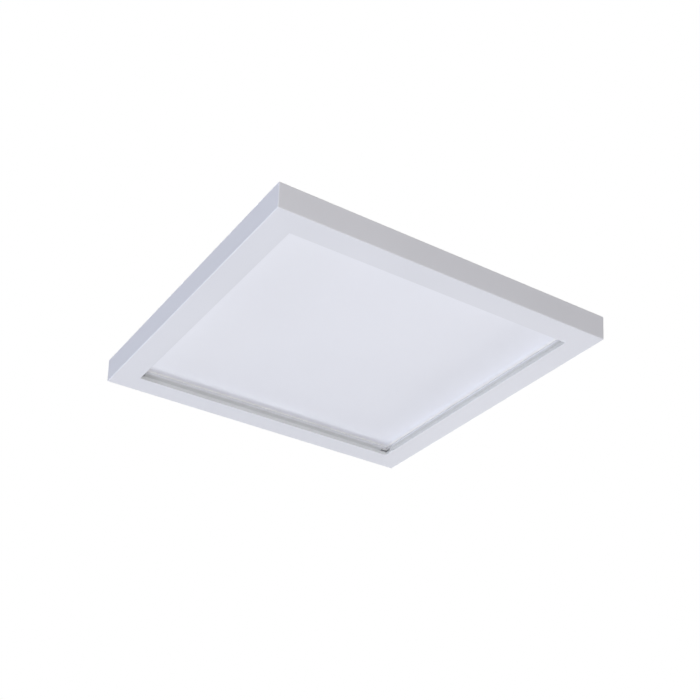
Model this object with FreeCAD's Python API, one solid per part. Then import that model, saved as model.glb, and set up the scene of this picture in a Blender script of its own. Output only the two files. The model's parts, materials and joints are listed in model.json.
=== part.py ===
import FreeCAD, Part
import math
import os

os.makedirs("parts", exist_ok=True)

# A square, low-profile LED ceiling light, in millimetres.
# The origin is the centre of the ceiling plane, +Z is up, and the light hangs below z = 0.
# The driver box stands above z = 0, inside the house junction box.

# Outside form of the frame
SIDE = 300.0
HEIGHT = 21.0
DRAFT = 1.0
CORNER_RADIUS = 0.8
FACE_EDGE_RADIUS = 0.8
FRAME_WALL = 1.8
FACE_WALL = 1.8

# Flat face, and the lip that turns up round its square opening
BEZEL_WIDTH = 21.7
LIP_DEPTH = 3.8
LIP_SPREAD = 0.8
LIP_WALL = 1.6

# Lens tray: a folded sheet ring that slopes outwards from the lip up to the lens
LENS_DEPTH = 12.2
TRAY_SPREAD = 4.8
TRAY_SHEET = 0.8
TRAY_LEDGE = 3.9
CORNER_RELIEF = 5.0
CORNER_RELIEF_HEIGHT = 2.2
FOLD_RELIEF = 3.0

# Light stack, from the lens up to the back plate
LENS_THICKNESS = 1.5
GUIDE_THICKNESS = 2.3
REFLECTOR_THICKNESS = 0.25
PLATE_THICKNESS = 0.8
STACK_CLEARANCE = 0.3

# Light sources on the four inner sides of the tray
LED_COUNT = 22
LED_LENGTH = 3.0
LED_HEIGHT = 1.4
LED_DEPTH = 0.9
STRIP_THICKNESS = 0.8
STRIP_END_GAP = 5.0
CUSHION_WALL = 1.6
LED_GAP = 0.3

# Fasteners and their holes are drawn with a few flat sides
SMALL_SIDES = 12
HEX_SIDES = 6
HEAD_TAPER = 0.75

# Ribs and screw bosses of the frame
RIBS_PER_SIDE = 8
RIB_THICKNESS = 1.4
BOSS_RADIUS = 3.0
BOSS_SCREW_RADIUS = 1.25
BOSS_SCREW_DEPTH = 9.0
BOSS_SCREW_END_GAP = 1.0
BOSSES_PER_SIDE = 2
BOSS_EDGE_DISTANCE = 6.6
BOSS_CORNER_DISTANCE = 40.0
JOIN = 0.2

# Back plate
PLATE_EDGE_GAP = 1.2
PLATE_CORNER_RADIUS = 4.0
SCREW_HOLE_CLEARANCE = 0.4
BEAD_HEIGHT = 1.0
BEAD_WIDTH = 9.0
BEAD_LENGTH = 96.0
BEAD_EDGE_DISTANCE = 58.0
BEAD_END_STEPS = 8
HEAD_RADIUS = 2.7
HEAD_HEIGHT = 1.5
GASKET_WIDTH = 8.0
GASKET_SETBACK = 0.8

# Driver housing on the back plate
DRIVER_LENGTH = 64.0
DRIVER_WIDTH = 58.0
DRIVER_HEIGHT = 23.0
DRIVER_WALL = 1.6
DRIVER_CORNER_RADIUS = 4.0
DRIVER_TOP_CHAMFER = 1.2
DRIVER_TAB_REACH = 6.6
DRIVER_TAB_WIDTH = 10.0
DRIVER_TAB_THICKNESS = 2.0
DRIVER_TAB_OFFSET = 20.0
DRIVER_SCREW_RADIUS = 1.4
DRIVER_HEAD_RADIUS = 2.4
DRIVER_HEAD_HEIGHT = 1.2

# Driver board and what stands on it
INSULATION_THICKNESS = 0.4
STANDOFF_HEIGHT = 3.2
STANDOFF_RADIUS = 2.2
STANDOFF_PIN_RADIUS = 1.1
STANDOFF_INSET = 4.0
BOARD_THICKNESS = 1.6
BOARD_CLEARANCE = 0.8
PIN_HEAD = 0.5
PIN_THICKNESS = 1.2
PART_GAP = 1.2

# Transformer on the driver board
TRANSFORMER_X = -11.0
TRANSFORMER_Y = -4.0
CORE_WIDTH = 16.0
CORE_HEIGHT = 14.0
CORE_DEPTH = 6.8
CORE_YOKE = 3.4
CORE_POST = 4.0
BOBBIN_LENGTH = 17.0
BOBBIN_WALL = 0.8
BOBBIN_FOOT = 1.6
WINDING_BUILD = 2.4

# Other parts on the driver board
INPUT_CAP_RADIUS = 5.0
INPUT_CAP_HEIGHT = 16.0
OUTPUT_CAP_RADIUS = 4.0
OUTPUT_CAP_HEIGHT = 12.0
CHOKE_RADIUS = 4.5
CHOKE_HEIGHT = 9.0
CHOKE_NECK = 2.2
CHOKE_FLANGE = 1.5
FUSE_LENGTH = 7.2
FUSE_WIDTH = 4.4
FUSE_HEIGHT = 5.0
FILM_CAP_LENGTH = 14.0
FILM_CAP_WIDTH = 6.0
FILM_CAP_HEIGHT = 10.0
RECTIFIER_LENGTH = 10.0
RECTIFIER_WIDTH = 6.0
RECTIFIER_HEIGHT = 2.6
CHIP_LENGTH = 5.0
CHIP_WIDTH = 4.0
CHIP_HEIGHT = 1.6
CONNECTOR_LENGTH = 8.0
CONNECTOR_WIDTH = 5.2
CONNECTOR_HEIGHT = 7.0

# Mains terminal at the end of the driver
TERMINAL_WIDTH = 16.5
TERMINAL_HEIGHT = 9.0
TERMINAL_DEPTH = 10.0
TERMINAL_POLES = 3
TERMINAL_PITCH = 5.0
WIRE_ENTRY_SIZE = 3.0
WIRE_ENTRY_DEPTH = 6.0
WIRE_ENTRY_SILL = 1.4
TERMINAL_SCREW_RADIUS = 1.9
TERMINAL_SCREW_HEIGHT = 1.8
TERMINAL_SCREW_SINK = 1.6
TERMINAL_STEP = 1.6
TERMINAL_CLEARANCE = 0.3

# Colour temperature selector, a three-way slide switch at the other end
SWITCH_LENGTH = 11.0
SWITCH_HEIGHT = 4.4
SWITCH_DEPTH = 4.6
SWITCH_SKIN = 0.5
SELECTOR_STEP = 2.0
SELECTOR_STEM_LENGTH = 2.4
SELECTOR_STEM_HEIGHT = 1.8
SELECTOR_REACH = 1.4
SELECTOR_CLEARANCE = 0.3

# Mounting bracket on the junction box
BRACKET_LENGTH = 118.0
BRACKET_WIDTH = 108.0
BRACKET_SHEET = 1.2
BRACKET_CORNER_RADIUS = 14.0
BRACKET_FLANGE = 2.0
BRACKET_FLANGE_LENGTH = 78.0
WINDOW_CLEARANCE = 1.6
BOX_SCREW_SPACING = 88.9
BOX_SLOT_RADIUS = 2.3
BOX_SLOT_LENGTH = 13.0
CEILING_GAP = 4.0

# Retaining springs that snap through the bracket
SPRING_SHEET = 0.5
SPRING_WIDTH = 11.0
SPRING_DISTANCE = 43.6
SPRING_FOOT = 9.0
SPRING_CATCH = 3.2
SPRING_CATCH_HEIGHT = 2.4
SPRING_TIP_HEIGHT = 8.5
SPRING_CATCH_GAP = 0.3
SPRING_SLOT_FREE = 0.5
SPRING_TIP_INSET = 1.0
RIVET_RADIUS = 1.1
RIVET_HEAD_RADIUS = 1.8
RIVET_HEAD_HEIGHT = 0.8
RIVET_EDGE_DISTANCE = 2.4

# Ground screw in the bracket
GROUND_SCREW_RADIUS = 2.0
GROUND_HEAD_RADIUS = 3.6
GROUND_HEAD_HEIGHT = 2.0
GROUND_SCREW_LENGTH = 8.0
GROUND_SLOT_WIDTH = 1.0
GROUND_OFFSET = 22.0
GROUND_EDGE_DISTANCE = 14.0

# Levels worked out from the sizes above
Z_FACE = -HEIGHT
Z_FLOOR = Z_FACE + FACE_WALL
Z_LIP = Z_FACE + LIP_DEPTH
Z_LENS = Z_FACE + LENS_DEPTH
Z_LEDGE = Z_LENS - TRAY_SHEET
Z_GUIDE = Z_LENS + LENS_THICKNESS
Z_REFLECTOR = Z_GUIDE + GUIDE_THICKNESS
Z_PLATE = Z_REFLECTOR + REFLECTOR_THICKNESS
Z_BACK = Z_PLATE + PLATE_THICKNESS
Z_TABS = Z_BACK + DRIVER_TAB_THICKNESS
Z_DRIVER_TOP = Z_BACK + DRIVER_HEIGHT
Z_STANDOFF = Z_BACK + INSULATION_THICKNESS
Z_BOARD = Z_STANDOFF + STANDOFF_HEIGHT
Z_PARTS = Z_BOARD + BOARD_THICKNESS

# Half widths worked out from the sizes above
FACE_HALF = SIDE / 2 - DRAFT
LIP_FACE = FACE_HALF - BEZEL_WIDTH
LIP_TOP = LIP_FACE + LIP_SPREAD
LENS_EDGE = LIP_TOP + TRAY_SPREAD
TRAY_INSIDE = LENS_EDGE + TRAY_LEDGE - TRAY_SHEET
TRAY_OUTSIDE = LENS_EDGE + TRAY_LEDGE
STRIP_FACE = TRAY_INSIDE - STRIP_THICKNESS
GUIDE_HALF = STRIP_FACE - LED_DEPTH - LED_GAP
SLOPE = TRAY_SPREAD / (Z_LENS - Z_LIP)
SHEET_ACROSS = TRAY_SHEET * math.sqrt(1 + SLOPE * SLOPE)

# Heights closer than this count as one level when edges are picked for rounding
SAME_LEVEL = 0.01


def outer_half(z):
    """Half width of the frame's outer wall, which draws in towards the face."""
    return SIDE / 2 + DRAFT * z / HEIGHT


def vec(x, y, z):
    return FreeCAD.Vector(x, y, z)


def box(x0, x1, y0, y1, z0, z1):
    return Part.makeBox(x1 - x0, y1 - y0, z1 - z0, vec(x0, y0, z0))


def cylinder(x, y, radius, z0, z1):
    return Part.makeCylinder(radius, z1 - z0, vec(x, y, z0))


def flat(points):
    """A flat face through points in order."""
    return Part.Face(Part.makePolygon(points + points[:1]))


def polygon(x, y, radius, z, sides):
    """The corners of a regular polygon on a circle."""
    corners = []
    for i in range(sides):
        angle = math.tau * i / sides
        corners.append(vec(x + radius * math.cos(angle), y + radius * math.sin(angle), z))
    return corners


def prism(x, y, radius, z0, z1, sides=SMALL_SIDES):
    """A straight bar with a few flat sides, for hexagons and for small fasteners."""
    return flat(polygon(x, y, radius, z0, sides)).extrude(vec(0, 0, z1 - z0))


def small_hole(x, y, radius, z0, z1):
    """The cutter of a small hole, whose flat sides clear a round shank of the given radius."""
    return prism(x, y, radius / math.cos(math.pi / SMALL_SIDES), z0, z1)


def between(lower, upper):
    """A solid with flat sides between two level outlines of as many corners."""
    wires = [Part.makePolygon(points + points[:1]) for points in (lower, upper)]
    return Part.makeLoft(wires, True, True)


def upright_edges(shape, low, high):
    """The edges that run from one level to another."""
    edges = []
    for edge in shape.Edges:
        ends = edge.BoundBox
        if ends.ZMin < low + SAME_LEVEL and ends.ZMax > high - SAME_LEVEL:
            edges.append(edge)
    return edges


def frustum(half_x0, half_y0, z0, half_x1, half_y1, z1, radius=0.0):
    """A four-sided solid between two levels, with flat sides and optional rounded corners."""
    low = (-half_x0, z0, -half_y0, -half_y1, -half_x1)
    high = (half_x0, z1, half_y0, half_y1, half_x1)
    solid = Part.makeWedge(*low, *high)
    solid.rotate(vec(0, 0, 0), vec(1, 0, 0), 90)
    if radius > 0:
        solid = solid.makeFillet(radius, upright_edges(solid, z0, z1))
    return solid


def slab(half_x, half_y, z0, z1, radius=0.0):
    """A flat plate between two levels."""
    return frustum(half_x, half_y, z0, half_x, half_y, z1, radius)


def profile_xz(points, y0, y1):
    """A solid from an outline in the XZ plane, run along Y."""
    face = flat([vec(x, y0, z) for x, z in points])
    return face.extrude(vec(0, y1 - y0, 0))


def revolve_z(points, x=0.0, y=0.0):
    """A turned solid from an outline of radius and height about a vertical axis."""
    face = flat([vec(r, 0, z) for r, z in points])
    solid = face.revolve(vec(0, 0, 0), vec(0, 0, 1), 360)
    solid.translate(vec(x, y, 0))
    return solid


def turned(shape, degrees):
    copy = shape.copy()
    copy.rotate(vec(0, 0, 0), vec(0, 0, 1), degrees)
    return copy


def around(shape):
    """Four copies of a shape, one for each side of the square."""
    return [turned(shape, 90 * i) for i in range(4)]


def slot_z(x, y, radius, length, z0, z1):
    """A vertical slot with round ends that runs along Y."""
    reach = length / 2 - radius
    slot = box(x - radius, x + radius, y - reach, y + reach, z0, z1)
    slot = slot.fuse(cylinder(x, y - reach, radius, z0, z1))
    return slot.fuse(cylinder(x, y + reach, radius, z0, z1))


def headed_pin(x, y, seat, head_radius, head_height, radius, length):
    """A screw or rivet that stands on a seat, with a tapered head and its shank pointing down."""
    crown = seat + head_height
    base = polygon(x, y, head_radius, seat, SMALL_SIDES)
    top = polygon(x, y, HEAD_TAPER * head_radius, crown, SMALL_SIDES)
    shank = prism(x, y, radius, seat - length, seat)
    return between(base, top).fuse(shank).removeSplitter()


def save(name, solids):
    """Write one node: a single solid or a group of separate ones."""
    shape = solids if not isinstance(solids, list) else Part.makeCompound(solids)
    shape.exportStep(os.path.join("parts", name + ".step"))


def boss_line():
    """Distance of the frame's screws from the centre plane of their side."""
    return SIDE / 2 - BOSS_EDGE_DISTANCE


def boss_places():
    """The screw places along all four sides."""
    reach = SIDE / 2 - BOSS_CORNER_DISTANCE
    step = 2 * reach / (BOSSES_PER_SIDE - 1)
    row = [-reach + step * i for i in range(BOSSES_PER_SIDE)]
    places = []
    for along in row:
        places += [(boss_line(), along), (-boss_line(), along)]
        places += [(along, boss_line()), (along, -boss_line())]
    return places


def rib_profile():
    """A gusset from the lip to the outer wall, with a step that carries the tray."""
    foot = LIP_TOP + LIP_WALL - JOIN
    clear = SHEET_ACROSS + STACK_CLEARANCE
    knee = LIP_TOP + clear + SLOPE * (Z_LEDGE - Z_LIP)
    wall_high = outer_half(Z_LEDGE) - FRAME_WALL + JOIN
    wall_low = outer_half(Z_FLOOR) - FRAME_WALL + JOIN
    shoulder = Z_LEDGE + (Z_PLATE - Z_LEDGE) / 2
    points = [(foot, Z_FLOOR - JOIN), (foot, Z_LIP - STACK_CLEARANCE)]
    points += [(LIP_TOP + clear, Z_LIP - STACK_CLEARANCE), (knee, Z_LEDGE)]
    points += [(TRAY_OUTSIDE + STACK_CLEARANCE, Z_LEDGE)]
    points += [(wall_high, shoulder), (wall_low, Z_FLOOR - JOIN)]
    return points


def make_ribs():
    """Gussets evenly spaced between the end bosses of each side."""
    reach = SIDE / 2 - BOSS_CORNER_DISTANCE
    step = 2 * reach / RIBS_PER_SIDE
    ribs = []
    for i in range(RIBS_PER_SIDE):
        along = -reach + step * (i + 0.5)
        rib = profile_xz(rib_profile(), along - RIB_THICKNESS / 2, along + RIB_THICKNESS / 2)
        ribs += around(rib)
    return ribs


def make_bosses():
    """Screw bosses, each tied to the outer wall by a short web."""
    bosses = []
    for x, y in boss_places():
        bosses.append(cylinder(x, y, BOSS_RADIUS, Z_FLOOR - JOIN, Z_PLATE))
        end = outer_half(Z_FLOOR) - FRAME_WALL + JOIN
        half = RIB_THICKNESS / 2
        if abs(x) == boss_line():
            low, high = sorted((x, math.copysign(end, x)))
            web = box(low, high, y - half, y + half, Z_FLOOR - JOIN, Z_PLATE)
        else:
            low, high = sorted((y, math.copysign(end, y)))
            web = box(x - half, x + half, low, high, Z_FLOOR - JOIN, Z_PLATE)
        bosses.append(web)
    return bosses


def make_shell():
    """The drafted outer wall and the flat face, hollow behind, before the opening is cut."""
    shell = frustum(FACE_HALF, FACE_HALF, Z_FACE, SIDE / 2, SIDE / 2, 0, CORNER_RADIUS)
    face_edges = [edge for edge in shell.Edges if edge.BoundBox.ZMax < Z_FACE + SAME_LEVEL]
    shell = shell.makeFillet(FACE_EDGE_RADIUS, face_edges)
    low = outer_half(Z_FLOOR) - FRAME_WALL
    high = SIDE / 2 - FRAME_WALL
    return shell.cut(frustum(low, low, Z_FLOOR, high, high, 0))


def make_frame():
    """The moulded frame: a drafted outer wall, the flat face and the lip, open to the rear."""
    lip_outside = LIP_TOP + LIP_WALL
    lip = slab(lip_outside, lip_outside, Z_FACE + FACE_WALL / 2, Z_LIP)
    body = make_shell().fuse([lip] + make_ribs() + make_bosses())
    opening = frustum(LIP_FACE, LIP_FACE, Z_FACE, LIP_TOP, LIP_TOP, Z_LIP)
    cuts = [opening]
    for x, y in boss_places():
        cuts.append(small_hole(x, y, BOSS_SCREW_RADIUS, Z_PLATE - BOSS_SCREW_DEPTH, Z_PLATE))
    return body.cut(cuts).removeSplitter()


def make_lens_tray():
    """The folded ring: a sloping reveal, a ledge for the lens and an upstand for the lights."""
    top = LENS_EDGE
    base = LIP_TOP
    outer_low = base + SHEET_ACROSS
    outer_high = outer_low + SLOPE * (Z_LEDGE - Z_LIP)
    outside = frustum(outer_low, outer_low, Z_LIP, outer_high, outer_high, Z_LEDGE)
    outside = outside.fuse(slab(TRAY_OUTSIDE, TRAY_OUTSIDE, Z_LEDGE, Z_PLATE))
    inside = frustum(base, base, Z_LIP, top, top, Z_LENS)
    inside = inside.fuse(slab(TRAY_INSIDE, TRAY_INSIDE, Z_LENS, Z_PLATE))
    tray = outside.cut(inside)
    inner = LIP_TOP - CORNER_RELIEF
    outer = LIP_TOP + TRAY_SPREAD
    notch = box(inner, outer, inner, outer, Z_LIP, Z_LIP + CORNER_RELIEF_HEIGHT)
    fold_in = TRAY_INSIDE - FOLD_RELIEF
    fold = box(fold_in, TRAY_OUTSIDE, fold_in, TRAY_OUTSIDE, Z_LENS, Z_PLATE)
    return tray.cut(around(notch) + around(fold)).removeSplitter()


def make_lens():
    half = TRAY_INSIDE - STACK_CLEARANCE
    return slab(half, half, Z_LENS, Z_GUIDE)


def make_light_guide():
    return slab(GUIDE_HALF, GUIDE_HALF, Z_GUIDE, Z_REFLECTOR)


def make_reflector():
    return slab(GUIDE_HALF, GUIDE_HALF, Z_REFLECTOR, Z_PLATE)


def strip_half_length():
    return TRAY_INSIDE - STRIP_END_GAP


def make_led_strip():
    """The circuit strip on the +X side of the tray."""
    half = strip_half_length()
    return box(STRIP_FACE, TRAY_INSIDE, -half, half, Z_GUIDE, Z_PLATE - STACK_CLEARANCE)


def make_leds():
    """The light sources on the +X strip, facing the edge of the light guide."""
    step = 2 * strip_half_length() / LED_COUNT
    middle = (Z_GUIDE + Z_REFLECTOR) / 2
    leds = []
    for i in range(LED_COUNT):
        y = -strip_half_length() + step * (i + 0.5)
        low = middle - LED_HEIGHT / 2
        half = LED_LENGTH / 2
        leds.append(box(STRIP_FACE - LED_DEPTH, STRIP_FACE, y - half, y + half, low, low + LED_HEIGHT))
    return leds


def make_guide_cushions():
    """Soft corner pieces that keep the light guide centred in the tray."""
    start = TRAY_INSIDE - STRIP_END_GAP + STACK_CLEARANCE
    outside = GUIDE_HALF + CUSHION_WALL
    block = box(start, outside, start, outside, Z_GUIDE, Z_REFLECTOR)
    corner = box(start, GUIDE_HALF, start, GUIDE_HALF, Z_GUIDE, Z_REFLECTOR)
    return around(block.cut(corner))


def plate_half():
    return outer_half(Z_PLATE) - FRAME_WALL - PLATE_EDGE_GAP


def bead_outline(z, half_width):
    """The level outline of a long bead with round ends, parallel to the +X edge of the plate."""
    x = SIDE / 2 - BEAD_EDGE_DISTANCE
    reach = BEAD_LENGTH / 2 - BEAD_WIDTH / 2
    points = []
    for end in (1, -1):
        for i in range(BEAD_END_STEPS + 1):
            angle = math.pi * i / BEAD_END_STEPS
            along = end * (reach + half_width * math.sin(angle))
            points.append(vec(x + end * half_width * math.cos(angle), along, z))
    return points


def bead(seat, shrink):
    """A raised bead with sloping sides that stands on a level."""
    low = BEAD_WIDTH / 2 - shrink
    base = bead_outline(seat, low)
    return between(base, bead_outline(seat + BEAD_HEIGHT, low - BEAD_HEIGHT))


def make_back_plate():
    """The pressed steel plate that closes the frame and carries the driver and the springs."""
    plate = slab(plate_half(), plate_half(), Z_PLATE, Z_BACK, PLATE_CORNER_RADIUS)
    raised = bead(Z_BACK, 0)
    hollow = bead(Z_PLATE, PLATE_THICKNESS / 2)
    hole = BOSS_SCREW_RADIUS + SCREW_HOLE_CLEARANCE
    cuts = around(hollow)
    for x, y in boss_places():
        cuts.append(small_hole(x, y, hole, Z_PLATE, Z_BACK))
    for x, y in driver_screw_places():
        cuts.append(small_hole(x, y, DRIVER_SCREW_RADIUS, Z_PLATE, Z_BACK))
    for x, y in rivet_places(1) + rivet_places(-1):
        cuts.append(small_hole(x, y, RIVET_RADIUS, Z_PLATE, Z_BACK))
    return plate.fuse(around(raised)).cut(cuts).removeSplitter()


def make_plate_screws():
    length = PLATE_THICKNESS + BOSS_SCREW_DEPTH - BOSS_SCREW_END_GAP
    screws = []
    for x, y in boss_places():
        screws.append(headed_pin(x, y, Z_BACK, HEAD_RADIUS, HEAD_HEIGHT, BOSS_SCREW_RADIUS, length))
    return screws


def make_gasket():
    """Four foam strips, butted at the corners, that seal the light to the ceiling."""
    outside = boss_line() - HEAD_RADIUS - GASKET_SETBACK
    inside = outside - GASKET_WIDTH
    return around(box(inside, outside, -outside, inside, Z_BACK, 0))


def driver_screw_places():
    x = DRIVER_WIDTH / 2 + DRIVER_TAB_REACH / 2
    places = []
    for sx in (-1, 1):
        for sy in (-1, 1):
            places.append((sx * x, sy * DRIVER_TAB_OFFSET))
    return places


def make_driver_housing():
    """A moulded box, open below, with four screw tabs and cut-outs for terminal and selector."""
    half_x = DRIVER_WIDTH / 2
    half_y = DRIVER_LENGTH / 2
    shell = slab(half_x, half_y, Z_BACK, Z_DRIVER_TOP, DRIVER_CORNER_RADIUS)
    top_edges = [edge for edge in shell.Edges if edge.BoundBox.ZMin > Z_DRIVER_TOP - SAME_LEVEL]
    shell = shell.makeChamfer(DRIVER_TOP_CHAMFER, top_edges)
    tabs = []
    for x, y in driver_screw_places():
        outer = math.copysign(half_x + DRIVER_TAB_REACH, x)
        inner = math.copysign(half_x - DRIVER_WALL / 2, x)
        low, high = sorted((inner, outer))
        half = DRIVER_TAB_WIDTH / 2
        tabs.append(box(low, high, y - half, y + half, Z_BACK, Z_TABS))
    shell = shell.fuse(tabs)
    inner_radius = DRIVER_CORNER_RADIUS - DRIVER_WALL
    roof = Z_DRIVER_TOP - DRIVER_WALL
    cuts = [slab(half_x - DRIVER_WALL, half_y - DRIVER_WALL, Z_BACK, roof, inner_radius)]
    for x, y in driver_screw_places():
        cuts.append(small_hole(x, y, DRIVER_SCREW_RADIUS + SCREW_HOLE_CLEARANCE, Z_BACK, Z_TABS))
    wide = TERMINAL_WIDTH / 2 + TERMINAL_CLEARANCE
    high = Z_PARTS + TERMINAL_HEIGHT + TERMINAL_CLEARANCE
    cuts.append(box(-wide, wide, half_y - 2 * DRIVER_WALL, half_y, Z_PARTS, high))
    run = SELECTOR_STEP + SELECTOR_STEM_LENGTH / 2 + SELECTOR_CLEARANCE
    rise = SELECTOR_STEM_HEIGHT / 2 + SELECTOR_CLEARANCE
    middle = Z_PARTS + SWITCH_HEIGHT / 2
    cuts.append(box(-run, run, -half_y, -half_y + 2 * DRIVER_WALL, middle - rise, middle + rise))
    return shell.cut(cuts).removeSplitter()


def make_driver_screws():
    length = DRIVER_TAB_THICKNESS + PLATE_THICKNESS
    screws = []
    for x, y in driver_screw_places():
        screw = headed_pin(x, y, Z_TABS, DRIVER_HEAD_RADIUS, DRIVER_HEAD_HEIGHT, DRIVER_SCREW_RADIUS, length)
        screws.append(screw)
    return screws


def board_half_x():
    return DRIVER_WIDTH / 2 - DRIVER_WALL - BOARD_CLEARANCE


def board_half_y():
    return DRIVER_LENGTH / 2 - DRIVER_WALL - BOARD_CLEARANCE


def standoff_places():
    x = board_half_x() - STANDOFF_INSET
    y = board_half_y() - STANDOFF_INSET
    return [(-x, -y), (x, -y), (-x, y), (x, y)]


def make_insulation_sheet():
    return slab(board_half_x(), board_half_y(), Z_BACK, Z_STANDOFF)


def make_driver_board():
    board = slab(board_half_x(), board_half_y(), Z_BOARD, Z_PARTS)
    holes = [small_hole(x, y, STANDOFF_PIN_RADIUS, Z_BOARD, Z_PARTS) for x, y in standoff_places()]
    return board.cut(holes)


def make_standoffs():
    """Nylon hexagonal posts, each with a flat arrow tip that snaps through the board."""
    posts = []
    pin = STANDOFF_PIN_RADIUS
    half = PIN_THICKNESS / 2
    side = math.sqrt(pin * pin - half * half)
    for x, y in standoff_places():
        post = prism(x, y, STANDOFF_RADIUS, Z_STANDOFF, Z_BOARD, HEX_SIDES)
        barb = side + PIN_HEAD
        tip = [(x - side, Z_BOARD), (x + side, Z_BOARD), (x + side, Z_PARTS), (x + barb, Z_PARTS)]
        tip += [(x + PIN_HEAD / 2, Z_PARTS + 3 * PIN_HEAD), (x - PIN_HEAD / 2, Z_PARTS + 3 * PIN_HEAD)]
        tip += [(x - barb, Z_PARTS), (x - side, Z_PARTS)]
        posts.append(post.fuse(profile_xz(tip, y - half, y + half)))
    return posts


def centred_box(x, y, size_x, size_y, z0, z1):
    return box(x - size_x / 2, x + size_x / 2, y - size_y / 2, y + size_y / 2, z0, z1)


def make_transformer():
    """An E-core transformer: ferrite core, bobbin and winding as separate pieces."""
    x = TRANSFORMER_X
    y = TRANSFORMER_Y
    low = Z_PARTS + BOBBIN_FOOT
    top = low + CORE_HEIGHT
    floor = low + CORE_YOKE
    roof = top - CORE_YOKE
    outer = centred_box(x, y, CORE_WIDTH, CORE_DEPTH, low, top)
    window = centred_box(x, y, CORE_WIDTH - CORE_YOKE, CORE_DEPTH, floor, roof)
    post = centred_box(x, y, CORE_POST, CORE_DEPTH, floor, roof)
    core = outer.cut(window).fuse(post).removeSplitter()
    tube_x = CORE_POST + 2 * BOBBIN_WALL
    tube_y = CORE_DEPTH + 2 * BOBBIN_WALL
    tube = centred_box(x, y, tube_x, tube_y, floor, roof)
    flange_x = CORE_WIDTH - CORE_YOKE - BOBBIN_WALL
    flange_low = centred_box(x, y, flange_x, BOBBIN_LENGTH, floor, floor + BOBBIN_WALL)
    flange_high = centred_box(x, y, flange_x, BOBBIN_LENGTH, roof - BOBBIN_WALL, roof)
    rail_width = (BOBBIN_LENGTH - tube_y) / 2
    rails = []
    for side in (-1, 1):
        rail_y = y + side * (BOBBIN_LENGTH - rail_width) / 2
        rails.append(centred_box(x, rail_y, flange_x, rail_width, Z_PARTS, floor))
    bobbin = tube.fuse([flange_low, flange_high] + rails).cut(post).removeSplitter()
    coil_x = tube_x / 2 + WINDING_BUILD
    coil_y = tube_y / 2 + WINDING_BUILD
    coil = slab(coil_x, coil_y, floor + BOBBIN_WALL, roof - BOBBIN_WALL, WINDING_BUILD)
    coil.translate(vec(x, y, 0))
    return core, bobbin, coil.cut(tube)


def make_capacitor(x, y, radius, height):
    """An electrolytic can with a rolled edge at the top."""
    low = Z_PARTS
    top = low + height
    points = [(0, low), (radius, low), (radius, top - PIN_HEAD)]
    points += [(radius - PIN_HEAD, top), (0, top)]
    return revolve_z(points, x, y)


def make_choke(x, y):
    """A ferrite drum with its winding as a separate ring."""
    low = Z_PARTS
    floor = low + CHOKE_FLANGE
    top = low + CHOKE_HEIGHT
    roof = top - CHOKE_FLANGE
    points = [(0, low), (CHOKE_RADIUS, low), (CHOKE_RADIUS, floor), (CHOKE_NECK, floor)]
    points += [(CHOKE_NECK, roof), (CHOKE_RADIUS, roof), (CHOKE_RADIUS, top), (0, top)]
    wound = CHOKE_RADIUS - PIN_HEAD
    ring = [(CHOKE_NECK, floor), (wound, floor), (wound, roof), (CHOKE_NECK, roof)]
    return revolve_z(points, x, y), revolve_z(ring, x, y)


def make_terminal():
    """The three-pole mains terminal with wire entries towards the box and screws on top."""
    half = TERMINAL_WIDTH / 2
    mouth = DRIVER_LENGTH / 2
    back = mouth - TERMINAL_DEPTH
    top = Z_PARTS + TERMINAL_HEIGHT
    body = box(-half, half, back, mouth, Z_PARTS, top)
    step = box(-half, half, back, back + TERMINAL_STEP, top - 2 * TERMINAL_STEP, top)
    row = mouth - TERMINAL_DEPTH / 2
    sill = Z_PARTS + WIRE_ENTRY_SILL
    head = top - TERMINAL_SCREW_SINK
    seat = head - TERMINAL_SCREW_HEIGHT
    radius = TERMINAL_SCREW_RADIUS
    cuts = [step]
    screws = []
    for i in range(TERMINAL_POLES):
        x = (i - (TERMINAL_POLES - 1) / 2) * TERMINAL_PITCH
        entry_y = mouth - WIRE_ENTRY_DEPTH / 2
        entry = (x, entry_y, WIRE_ENTRY_SIZE, WIRE_ENTRY_DEPTH, sill, sill + WIRE_ENTRY_SIZE)
        cuts.append(centred_box(*entry))
        cuts.append(small_hole(x, row, radius, seat, top))
        slot = centred_box(x, row, 2 * radius, radius / 3, head - radius / 3, head)
        screws.append(prism(x, row, radius, seat, head).cut(slot))
    return body.cut(cuts), screws


def switch_front():
    """The front of the switch can, just inside the housing wall."""
    return -DRIVER_LENGTH / 2 + DRIVER_WALL + SELECTOR_CLEARANCE


def make_switch_body():
    """The metal can of the slide switch, with a window along its front."""
    half = SWITCH_LENGTH / 2
    front = switch_front()
    back = front + SWITCH_DEPTH
    top = Z_PARTS + SWITCH_HEIGHT
    skin = SWITCH_SKIN
    can = box(-half, half, front, back, Z_PARTS, top)
    room = box(-half + skin, half - skin, front + skin, back - skin, Z_PARTS + skin, top - skin)
    run = SELECTOR_STEP + SELECTOR_STEM_LENGTH / 2 + SELECTOR_CLEARANCE
    rise = SELECTOR_STEM_HEIGHT / 2 + SELECTOR_CLEARANCE
    middle = Z_PARTS + SWITCH_HEIGHT / 2
    window = box(-run, run, front, front + skin, middle - rise, middle + rise)
    return can.cut([room, window])


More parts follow.
